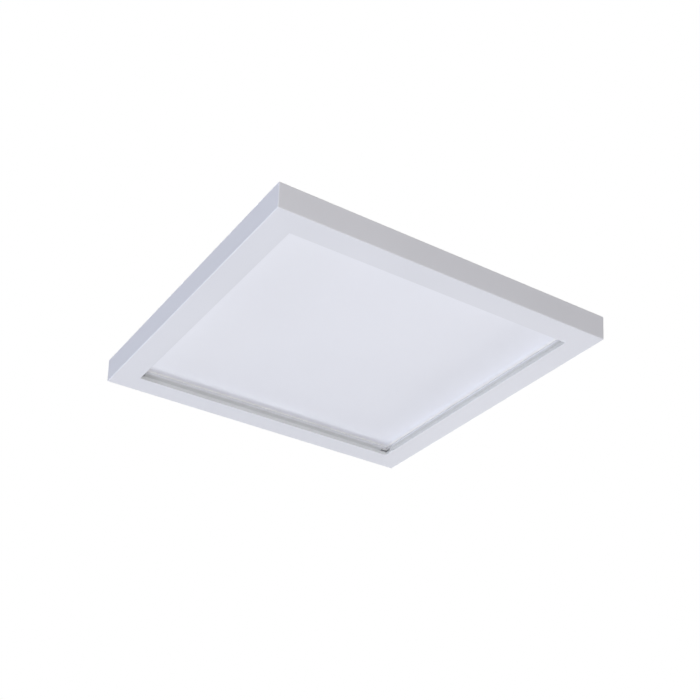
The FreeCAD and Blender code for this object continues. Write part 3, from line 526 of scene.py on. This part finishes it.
def put(name, bm, node, *slots):
    """Makes a mesh a piece that rides with, and stands for, one CAD node."""
    mesh = bpy.data.meshes.new(name)
    bm.to_mesh(mesh)
    bm.free()
    mesh.polygons.foreach_set("use_smooth", [True] * len(mesh.polygons))
    mesh.set_sharp_from_angle(angle=SMOOTH_BELOW)
    for slot in slots or (SLOT[node],):
        mesh.materials.append(FINISH[slot].material)
    piece = bpy.data.objects.new(name, mesh)
    bpy.context.scene.collection.objects.link(piece)
    shading = piece.modifiers.new("even_shading", "WEIGHTED_NORMAL")
    shading.keep_sharp = True
    shading.weight = 100
    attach(piece, HOME[node])
    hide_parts(node)
    return piece


def extent(node):
    """The lowest and highest corners of a CAD node."""
    low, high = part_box(node)
    return Vector(low), Vector(high)


def halfway(low, high):
    return (low + high) / 2


def copy_of(node):
    """A merged copy of a CAD node's mesh, with its flat faces made whole."""
    bm = bmesh.new()
    bm.from_mesh(NODES[node].data)
    bmesh.ops.remove_doubles(bm, verts=bm.verts, dist=0.002 * MM)
    bmesh.ops.dissolve_limit(bm, angle_limit=math.radians(0.5), verts=bm.verts, edges=bm.edges)
    return bm


def parts_of(node):
    """The lowest and highest corners of each separate solid of a CAD node."""
    bm = copy_of(node)
    left = set(bm.verts)
    boxes = []
    while left:
        group = {left.pop()}
        front = list(group)
        while front:
            vert = front.pop()
            for edge in vert.link_edges:
                other = edge.other_vert(vert)
                if other not in group:
                    group.add(other)
                    front.append(other)
        left -= group
        lows = Vector([min(v.co[i] for v in group) for i in range(3)])
        highs = Vector([max(v.co[i] for v in group) for i in range(3)])
        boxes.append((lows, highs))
    bm.free()
    return sorted(boxes, key=lambda box: tuple(round(value, 5) for value in box[0]))


def sharp_edges(bm, angle=0.5):
    return [e for e in bm.edges if len(e.link_faces) == 2 and e.calc_face_angle(0) > angle]


def soften(bm, width, segments=2, geom=None, affect="EDGES"):
    """Rounds edges or corners of a mesh, or all of its sharp edges."""
    bmesh.ops.bevel(
        bm,
        geom=sharp_edges(bm) if geom is None else geom,
        offset=width,
        segments=segments,
        profile=0.5,
        affect=affect,
        clamp_overlap=True,
        material=-1,
    )
    return bm


def verts_in(geom):
    return [item for item in geom if isinstance(item, bmesh.types.BMVert)]


def join(target, part, *places):
    """Adds a copy of a part at each place, and frees the part."""
    mesh = bpy.data.meshes.new("part")
    part.to_mesh(mesh)
    part.free()
    for place in places or (Matrix(),):
        copy = mesh.copy()
        copy.transform(place)
        target.from_mesh(copy)
        bpy.data.meshes.remove(copy)
    bpy.data.meshes.remove(mesh)
    return target


def at(x, y, z):
    return Matrix.Translation((x, y, z))


def block(low, high):
    """A block between two corners."""
    bm = bmesh.new()
    bmesh.ops.create_cube(bm, size=1.0)
    bmesh.ops.scale(bm, verts=bm.verts, vec=high - low)
    bmesh.ops.translate(bm, verts=bm.verts, vec=halfway(low, high))
    return bm


def turned(outline, steps=28):
    """A turned body: an outline of radius and height, spun about the Z axis."""
    bm = bmesh.new()
    verts = [bm.verts.new((radius, 0, height)) for radius, height in outline]
    edges = [bm.edges.new(pair) for pair in zip(verts, verts[1:])]
    bmesh.ops.spin(
        bm,
        geom=verts + edges,
        cent=(0, 0, 0),
        axis=(0, 0, 1),
        angle=math.tau,
        steps=steps,
        use_merge=True,
    )
    bmesh.ops.remove_doubles(bm, verts=bm.verts, dist=0.001 * MM)
    bmesh.ops.recalc_face_normals(bm, faces=bm.faces)
    return bm


def sink_cross(bm, arm, reach, depth, taper=0.7):
    """Sinks a cross recess, or a slot where reach is a pair, into the top of a turned body."""
    long_x, long_y = reach if isinstance(reach, tuple) else (reach, reach)
    cuts = {(1, 0): (arm, long_x), (0, 1): (arm, long_y)}
    for (x, y), distances in cuts.items():
        for distance in distances:
            for side in (-1, 1):
                place = (side * distance * x, side * distance * y, 0)
                geom = list(bm.verts) + list(bm.edges) + list(bm.faces)
                bmesh.ops.bisect_plane(bm, geom=geom, plane_co=place, plane_no=(x, y, 0), dist=1e-7)

    def inside(face):
        middle = face.calc_center_median()
        across = abs(middle.x) < long_x and abs(middle.y) < arm
        along = abs(middle.y) < long_y and abs(middle.x) < arm
        return face.normal.z > 0.3 and (across or along)

    faces = [face for face in bm.faces if inside(face)]
    verts = verts_in(bmesh.ops.extrude_face_region(bm, geom=faces)["geom"])
    level = min(vert.co.z for vert in verts) - depth
    for vert in verts:
        vert.co = (vert.co.x * taper, vert.co.y * taper, level)
    return bm


def thread(core, crest, pitch, length):
    """A helical thread ridge round a shank, running down from z = 0."""
    steps = 12
    turns = max(1, int(length / pitch) - 1)
    bm = bmesh.new()
    half = 0.42 * pitch
    corners = [(core, -half), (crest, 0), (core, half)]
    verts = [bm.verts.new((radius, 0, height - pitch)) for radius, height in corners]
    edges = [bm.edges.new((verts[i - 1], verts[i])) for i in range(3)]
    spun = bmesh.ops.spin(
        bm,
        geom=verts + edges,
        cent=(0, 0, 0),
        axis=(0, 0, 1),
        dvec=(0, 0, -pitch / steps),
        angle=math.tau * turns,
        steps=steps * turns,
        use_merge=False,
    )
    bm.faces.new(verts)
    bm.faces.new(verts_in(spun["geom_last"]))
    bmesh.ops.recalc_face_normals(bm, faces=bm.faces)
    return bm


def pan_head_screw(head, height, shank, length, cross):
    """A pan head screw standing on z = 0, with a cross recess and a threaded shank."""
    crown = [(0.62 * head, 0.97 * height), (0.84 * head, 0.82 * height), (0.96 * head, 0.55 * height)]
    outline = [(0, height)] + crown + [(head, 0.22 * height), (0.98 * head, 0), (0.82 * shank, 0)]
    outline += [(0.82 * shank, -length + shank), (0.3 * shank, -length), (0, -length)]
    bm = sink_cross(turned(outline), 0.13 * head, cross, 0.55 * height)
    return join(bm, thread(0.8 * shank, shank, 0.5 * shank, length - shank))


def make_screws():
    """The plate and driver screws, driven in to different angles as an assembler leaves them."""
    for node, (seat, shank) in SCREWS.items():
        bm = bmesh.new()
        for i, (low, high) in enumerate(parts_of(node)):
            head = (high.x - low.x) / 2
            screw = pan_head_screw(head, high.z - seat, shank, seat - low.z, 0.58 * head)
            middle = halfway(low, high)
            turn = Matrix.Rotation(math.radians(DRIVEN_TURN * i), 4, "Z")
            join(bm, screw, at(middle.x, middle.y, seat) @ turn)
        put(node + "_threaded", bm, node)


def make_rivets():
    """Blind rivets with the dimple that the broken mandrel leaves."""
    bm = bmesh.new()
    for low, high in parts_of("spring_rivets"):
        head = (high.x - low.x) / 2
        rise = high.z - low.z
        outline = [(0, rise - 0.35 * MM), (0.45 * MM, rise - 0.3 * MM), (0.55 * MM, rise - 0.02 * MM)]
        outline += [(0.9 * MM, rise), (0.8 * head, rise - 0.12 * MM), (0.97 * head, rise - 0.42 * MM)]
        outline += [(head, rise - 0.7 * MM), (0.97 * head, rise - 0.8 * MM)]
        outline += [(1.1 * MM, rise - 0.8 * MM), (1.1 * MM, 0), (0, 0)]
        middle = halfway(low, high)
        join(bm, turned(outline, 24), at(middle.x, middle.y, low.z))
    put("spring_rivets_set", bm, "spring_rivets")


def bent_strip(line, width, bend, tip=0.0):
    """An open strip along X and Z, as wide as given along Y, with rounded bends and tip corners."""
    bm = bmesh.new()
    verts = [bm.verts.new((x, -width / 2, z)) for x, z in line]
    edges = [bm.edges.new(pair) for pair in zip(verts, verts[1:])]
    made = bmesh.ops.extrude_edge_only(bm, edges=edges)["geom"]
    bmesh.ops.translate(bm, verts=verts_in(made), vec=(0, width, 0))
    if tip:
        x, z = line[-1]
        corners = [v for v in bm.verts if abs(v.co.x - x) + abs(v.co.z - z) < 0.001 * MM]
        soften(bm, tip, 4, corners, "VERTICES")
    return soften(bm, bend, 5, sharp_edges(bm, 0.1))


def make_springs():
    """The two retaining springs, bent from strip with a radius at each bend."""
    low, high = extent("retaining_spring_right")
    foot = low.z + LEAF_SHEET / 2
    line = [(high.x, foot), (LEAF_DISTANCE, foot), (LEAF_DISTANCE, LEAF_LEG_TOP)]
    line += [(LEAF_DISTANCE + out, rise) for out, rise in (LEAF_CATCH, LEAF_TIP)]
    for side, node in ((1, "retaining_spring_right"), (-1, "retaining_spring_left")):
        bm = bent_strip(line, high.y - low.y, LEAF_BEND, LEAF_TIP_CORNER)
        if side < 0:
            bmesh.ops.rotate(bm, verts=bm.verts, cent=(0, 0, 0), matrix=Matrix.Rotation(math.pi, 3, "Z"))
        piece = put(node + "_bent", bm, node)
        leaf = piece.modifiers.new("sheet", "SOLIDIFY")
        leaf.thickness = LEAF_SHEET
        leaf.offset = 0
        leaf.use_even_offset = True
        piece.modifiers.move(1, 0)


def make_leds():
    """Side-facing light sources: a white package round a yellow phosphor window."""
    for i, side in enumerate(("right", "rear", "left", "front")):
        node = "leds_" + side
        turn = Matrix.Rotation(math.radians(90 * i), 4, "Z")
        places = [at(*halfway(low, high)) @ turn for low, high in parts_of(node)]
        put(node + "_packages", join(bmesh.new(), led_package(), *places), node, "strip", "led")


def led_package():
    """One package centred on the origin, with its window facing -X."""
    bm = block(-LED_HALF, LED_HALF)
    window = [face for face in bm.faces if face.normal.x < -0.9]
    bmesh.ops.inset_region(bm, faces=window, thickness=LED_RIM, depth=0)
    bmesh.ops.inset_region(bm, faces=window, thickness=0.1 * MM, depth=-LED_WELL)
    for face in window:
        face.material_index = 1
    return bm


def make_capacitors():
    """Radial electrolytic capacitors: a crimped sleeve and a bare top scored with a vent."""
    for node in ("input_capacitor", "output_capacitor"):
        low, high = extent(node)
        middle = halfway(low, high)
        wide = (high.x - low.x) / 2
        tall = high.z - low.z
        cup = wide - 0.95 * MM
        outline = [(0, 0), (wide - 0.5 * MM, 0), (wide - 0.1 * MM, 0.15 * MM), (wide, 0.5 * MM)]
        outline += [(wide, 1.3 * MM), (wide - 0.3 * MM, 1.6 * MM), (wide - 0.3 * MM, 1.9 * MM)]
        outline += [(wide, 2.2 * MM), (wide, tall - 0.5 * MM), (wide - 0.14 * MM, tall - 0.14 * MM)]
        outline += [(wide - 0.5 * MM, tall), (wide - 0.9 * MM, tall - 0.02 * MM)]
        outline += [(cup, tall - 0.15 * MM), (0, tall - 0.15 * MM)]
        bm = turned(outline, 32)
        for face in bm.faces:
            centre = face.calc_center_median()
            if face.normal.z > 0.9 and centre.xy.length < cup:
                face.material_index = 1
        sink_cross(bm, 0.12 * MM, wide - 1.5 * MM, 0.12 * MM, 0.97)
        bmesh.ops.translate(bm, verts=bm.verts, vec=(middle.x, middle.y, low.z))
        put(node + "_can", bm, node, "can", "zinc")


def wound(bm, low, high, wire):
    """Draws a flat outline up into a winding with one rounded turn for each wire."""
    turns = round((high - low) / wire)
    pitch = (high - low) / turns
    loop = list(bm.edges)
    centre = sum((v.co for v in bm.verts), Vector()) / len(bm.verts)
    space = Matrix.Translation(-centre)
    swell = 1 + 0.3 * wire / max((v.co.xy - centre.xy).length for v in bm.verts)
    bmesh.ops.contextual_create(bm, geom=loop)
    for _ in range(turns):
        for factor, rise in ((swell, 0.25), (1.0, 0.5), (1 / swell, 0.25)):
            made = bmesh.ops.extrude_edge_only(bm, edges=loop)["geom"]
            verts = verts_in(made)
            loop = [item for item in made if isinstance(item, bmesh.types.BMEdge)]
            bmesh.ops.scale(bm, verts=verts, vec=(factor, factor, 1), space=space)
            bmesh.ops.translate(bm, verts=verts, vec=(0, 0, rise * pitch))
    bmesh.ops.contextual_create(bm, geom=loop)
    bmesh.ops.recalc_face_normals(bm, faces=bm.faces)
    return bm


def bobbin_outline(size):
    """One turn of the transformer's winding: a rectangle with rounded corners."""
    margin = 0.15 * MM
    ring = bmesh.new()
    bmesh.ops.create_grid(ring, x_segments=1, y_segments=1, size=0.5)
    bmesh.ops.scale(ring, verts=ring.verts, vec=(size.x - margin, size.y - margin, 1))
    soften(ring, TRANSFORMER_CORNER, 6, list(ring.verts), "VERTICES")
    bmesh.ops.delete(ring, geom=list(ring.faces), context="FACES_ONLY")
    return ring


def drum_outline(size):
    """One turn of the choke's winding."""
    ring = bmesh.new()
    bmesh.ops.create_circle(ring, segments=28, radius=size.x / 2 - 0.1 * MM)
    return ring


def make_windings():
    """The copper windings of the transformer and the choke, with their turns."""
    rows = (
        ("transformer_winding", bobbin_outline, TRANSFORMER_WIRE),
        ("choke_winding", drum_outline, CHOKE_WIRE),
    )
    for node, outline, wire in rows:
        low, high = extent(node)
        middle = halfway(low, high)
        ring = outline(high - low)
        bmesh.ops.translate(ring, verts=ring.verts, vec=(middle.x, middle.y, low.z))
        put(node + "_turns", wound(ring, low.z, high.z, wire), node)


def chip_body(low, high):
    """A moulded package that draws in above and below a parting line at half its height."""
    bm = block(low, high)
    rising = [e for e in bm.edges if abs(e.verts[0].co.z - e.verts[1].co.z) > 0.5 * MM]
    bmesh.ops.subdivide_edges(bm, edges=rising, cuts=1)
    middle = halfway(low, high)
    ends = [v for v in bm.verts if abs(v.co.z - middle.z) > 0.1 * MM]
    bmesh.ops.scale(bm, verts=ends, vec=CHIP_DRAFT, space=Matrix.Translation(-middle))
    return soften(bm, 0.06 * MM)


def chip_lead(tip, length, top, board, width):
    """One lead along X: it leaves the package at the height top, bends down and ends flat on the board."""
    foot = board + 0.08 * MM
    line = [(tip - 1.3 * length, top), (tip - 0.45 * length, top), (tip - 0.4 * length, foot), (tip, foot)]
    bm = bent_strip(line, width, LEAD_BEND)
    bmesh.ops.solidify(bm, geom=list(bm.faces), thickness=LEAD_SHEET)
    bmesh.ops.recalc_face_normals(bm, faces=bm.faces)
    for face in bm.faces:
        face.material_index = 1
    return bm


def make_chips():
    """Moulded packages with a row of bent leads along two sides."""
    for node, pairs in (("bridge_rectifier", 2), ("driver_chip", 4)):
        low, high = extent(node)
        middle = halfway(low, high)
        pitch = (high.x - low.x) / pairs
        length = LEAD_SHARE * (high.y - low.y)
        body_low = low + Vector((0, length, 0.1 * MM))
        body_high = high - Vector((0, length, 0))
        waist = halfway(body_low, body_high).z
        lead = chip_lead((high.y - low.y) / 2, length, waist, low.z, LEAD_WIDTH * pitch)
        places = []
        for turn in (90, -90):
            for i in range(pairs):
                x = middle.x + (i - (pairs - 1) / 2) * pitch
                places.append(at(x, middle.y, 0) @ Matrix.Rotation(math.radians(turn), 4, "Z"))
        put(node + "_package", join(chip_body(body_low, body_high), lead, *places), node, "chip", "zinc")


def make_ground_screw():
    """The green ground screw: a slotted hexagon head under the bracket and its thread above."""
    low, high = extent("ground_screw")
    middle = halfway(low, high)
    bm = bmesh.new()
    bmesh.ops.create_circle(bm, cap_ends=True, segments=6, radius=HEXAGON_RADIUS)
    top = bmesh.ops.extrude_face_region(bm, geom=list(bm.faces))["geom"]
    bmesh.ops.translate(bm, verts=verts_in(top), vec=(0, 0, HEXAGON_HEIGHT))
    bmesh.ops.recalc_face_normals(bm, faces=bm.faces)
    sink_cross(bm, GROUND_SLOT_HALF, (GROUND_SLOT_REACH, GROUND_SLOT_HALF), GROUND_SLOT_DEPTH, 1.0)
    soften(bm, 0.15 * MM)
    shank = GROUND_CORE + 0.05 * MM
    outline = [(0, 0.2 * MM), (shank, 0.2 * MM), (shank, -GROUND_THREAD)]
    outline += [(1.1 * MM, -GROUND_SHANK), (0, -GROUND_SHANK)]
    join(bm, turned(outline, 20))
    join(bm, thread(GROUND_CORE, GROUND_CREST, GROUND_PITCH, GROUND_THREAD))
    bmesh.ops.rotate(bm, verts=bm.verts, cent=(0, 0, 0), matrix=Matrix.Rotation(math.pi, 3, "X"))
    bmesh.ops.translate(bm, verts=bm.verts, vec=(middle.x, middle.y, low.z + HEXAGON_HEIGHT))
    put("ground_screw_threaded", bm, "ground_screw")


def near(value, target):
    return abs(value - target) < 0.02 * MM


def make_frame():
    """The frame moulding: rim, face opening and lip with their edges broken, and the rest as moulded."""
    bm = copy_of("frame")
    low, high = extent("frame")

    def level(edge, z):
        return all(near(vert.co.z, z) for vert in edge.verts)

    def within(edge, half):
        return all(max(abs(vert.co.x), abs(vert.co.y)) < half for vert in edge.verts)

    edges = sharp_edges(bm)
    rim = [e for e in edges if level(e, high.z)]
    lip = [e for e in edges if level(e, LIP_BACK) and within(e, LIP_REACH)]
    soften(bm, 0.25 * MM, 2, rim + lip)
    face = [e for e in sharp_edges(bm) if level(e, low.z) and within(e, OPENING_REACH)]
    soften(bm, 0.35 * MM, 3, face)
    put("frame_moulding", bm, "frame")


def make_bracket():
    """The stamped bracket, with a bend radius along its two flanges."""
    bm = copy_of("mounting_bracket")
    top = extent("mounting_bracket")[1]

    def on_bend(vert):
        return near(vert.co.z, top.z) and near(abs(vert.co.x), top.x) and abs(vert.co.y) < FLANGE_REACH

    soften(bm, FLANGE_BEND, 4, [e for e in sharp_edges(bm) if all(on_bend(v) for v in e.verts)])
    soften(bm, 0.1 * MM, 2, [e for e in sharp_edges(bm) if e.calc_length() > 0.4 * MM])
    put("mounting_bracket_stamped", bm, "mounting_bracket")


def make_back_plate():
    """The pressed back plate, with its rim and beads drawn to a radius and its holes left crisp."""
    bm = copy_of("back_plate")
    holes = []
    for node in ("back_plate_screws", "driver_screws", "spring_rivets"):
        holes += [halfway(low, high).xy for low, high in parts_of(node)]

    def clear_of_holes(edge):
        return all((v.co.xy - hole).length > HOLE_CLEARANCE for v in edge.verts for hole in holes)

    soften(bm, 0.25 * MM, 3, [edge for edge in sharp_edges(bm) if clear_of_holes(edge)])
    put("back_plate_pressed", bm, "back_plate")


def dress_cad_nodes():
    """The finish of every CAD node whose own mesh stays."""
    for name, node in NODES.items():
        node.data.materials.clear()
        node.data.materials.append(FINISH[SLOT[name]].material)


def make_softened():
    """Pieces whose CAD shape stays, with their edges broken as real ones are, by widths in millimetres."""
    widths = {
        "lens": 0.25,
        "light_guide": 0.15,
        "led_strip_right": 0.08,
        "led_strip_rear": 0.08,
        "led_strip_left": 0.08,
        "led_strip_front": 0.08,
        "guide_cushions": 0.3,
        "ceiling_gasket": 0.9,
        "film_capacitor": 0.5,
        "fuse": 0.4,
        "output_connector": 0.3,
        "transformer_core": 0.25,
        "transformer_bobbin": 0.1,
        "choke_core": 0.15,
        "selector_knob": 0.12,
        "selector_switch": 0.08,
        "driver_housing": 0.18,
        "mains_terminal": 0.12,
        "terminal_screws": 0.1,
        "board_standoffs": 0.08,
        "lens_tray": 0.12,
    }
    for node, width in widths.items():
        put(node + "_finished", soften(copy_of(node), width * MM), node)


def make_camera():
    data = bpy.data.cameras.new("camera")
    data.lens = CAMERA_LENS
    data.sensor_width = CAMERA_SENSOR
    camera = bpy.data.objects.new("camera", data)
    level = CAMERA_AIM.to_track_quat("-Z", "Y")
    turn = level @ Quaternion((0, 0, 1), CAMERA_ROLL)
    camera.matrix_world = Matrix.Translation(CAMERA_PLACE) @ turn.to_matrix().to_4x4()
    bpy.context.scene.collection.objects.link(camera)
    bpy.context.scene.camera = camera


def add_lamp(name, drop, turn, distance, size, power, color):
    """A soft lamp, drop degrees below the ceiling and turned from -Y towards -X."""
    data = bpy.data.lights.new(name, "AREA")
    data.size = size
    data.energy = power
    data.color = color
    lamp = bpy.data.objects.new(name, data)
    low, round_z = math.radians(drop), math.radians(turn)
    flat = math.cos(low)
    way = Vector((-flat * math.sin(round_z), -flat * math.cos(round_z), -math.sin(low)))
    aim = (-way).to_track_quat("-Z", "Y")
    lamp.matrix_world = Matrix.Translation(way * distance) @ aim.to_matrix().to_4x4()
    lamp.visible_camera = False
    bpy.context.scene.collection.objects.link(lamp)


def make_stage():
    """A pale floor far below, soft lamps and a white surround."""
    bm = bmesh.new()
    bmesh.ops.create_grid(bm, x_segments=1, y_segments=1, size=FLOOR_SIZE / 2)
    bmesh.ops.translate(bm, verts=bm.verts, vec=(0, 0, -FLOOR_DROP))
    mesh = bpy.data.meshes.new("floor")
    bm.to_mesh(mesh)
    bm.free()
    floor = bpy.data.objects.new("floor", mesh)
    bpy.context.scene.collection.objects.link(floor)
    pale = Finish("pale_floor", (0.88, 0.88, 0.88), 0.7)
    pale.show_white(Value(pale, pale.shader.outputs[0]), "ShaderNodeEmission", FLOOR_PALENESS)
    mesh.materials.append(pale.material)
    world = bpy.data.worlds.new("surround")
    bpy.context.scene.world = world
    surround = Recipe(world)
    dim = {"Color": (1.0, 1.0, 1.0), "Strength": SURROUND_LIGHT}
    surround.show_white(surround.node("ShaderNodeBackground", {}, dim), "ShaderNodeBackground")
    for lamp in LAMPS:
        add_lamp(*lamp)
    bpy.context.scene.view_settings.view_transform = "Standard"


dress_cad_nodes()
make_camera()
make_stage()
make_frame()
make_back_plate()
make_bracket()
make_softened()
make_screws()
make_rivets()
make_springs()
make_leds()
make_capacitors()
make_windings()
make_chips()
make_ground_screw()
